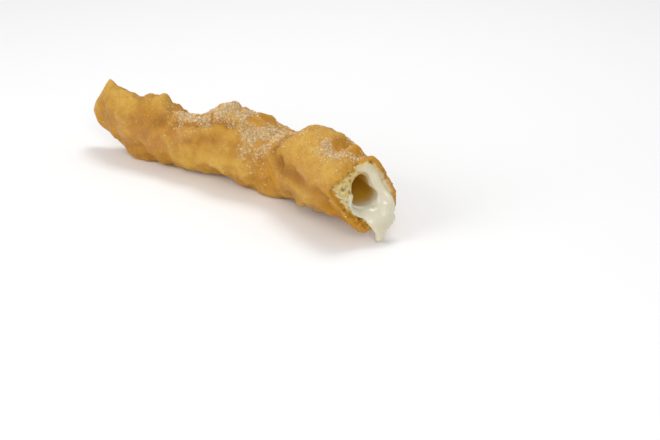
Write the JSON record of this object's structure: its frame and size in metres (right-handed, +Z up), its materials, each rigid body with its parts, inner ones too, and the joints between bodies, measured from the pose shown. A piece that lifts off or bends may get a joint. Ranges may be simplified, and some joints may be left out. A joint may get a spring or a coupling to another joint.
{
  "type": "filled churro",
  "caption": "Filled churro: a bent tube of fried dough with a pinched tail and a torn mouth, its cream lining running over the lower lip.",
  "frame": {"origin": "middle of the bounding box's bottom face: the dough rests on the plane z = 0", "axes": "+X runs along the churro from the pinched tail to the torn mouth, +Z is up as it lies, and -Y is the side that the picture shows"},
  "size_m": [0.2078, 0.0584, 0.0445],
  "materials": {
    "dough": "golden fried crust with a faint oil sheen, sugar grains on top and pale porous crumb at the torn mouth",
    "cream": "smooth, glossy, slightly translucent pale cream"
  },
  "bodies": {
    "root": {"dough": "dough", "cream": "cream"}
  },
  "joints": []
}
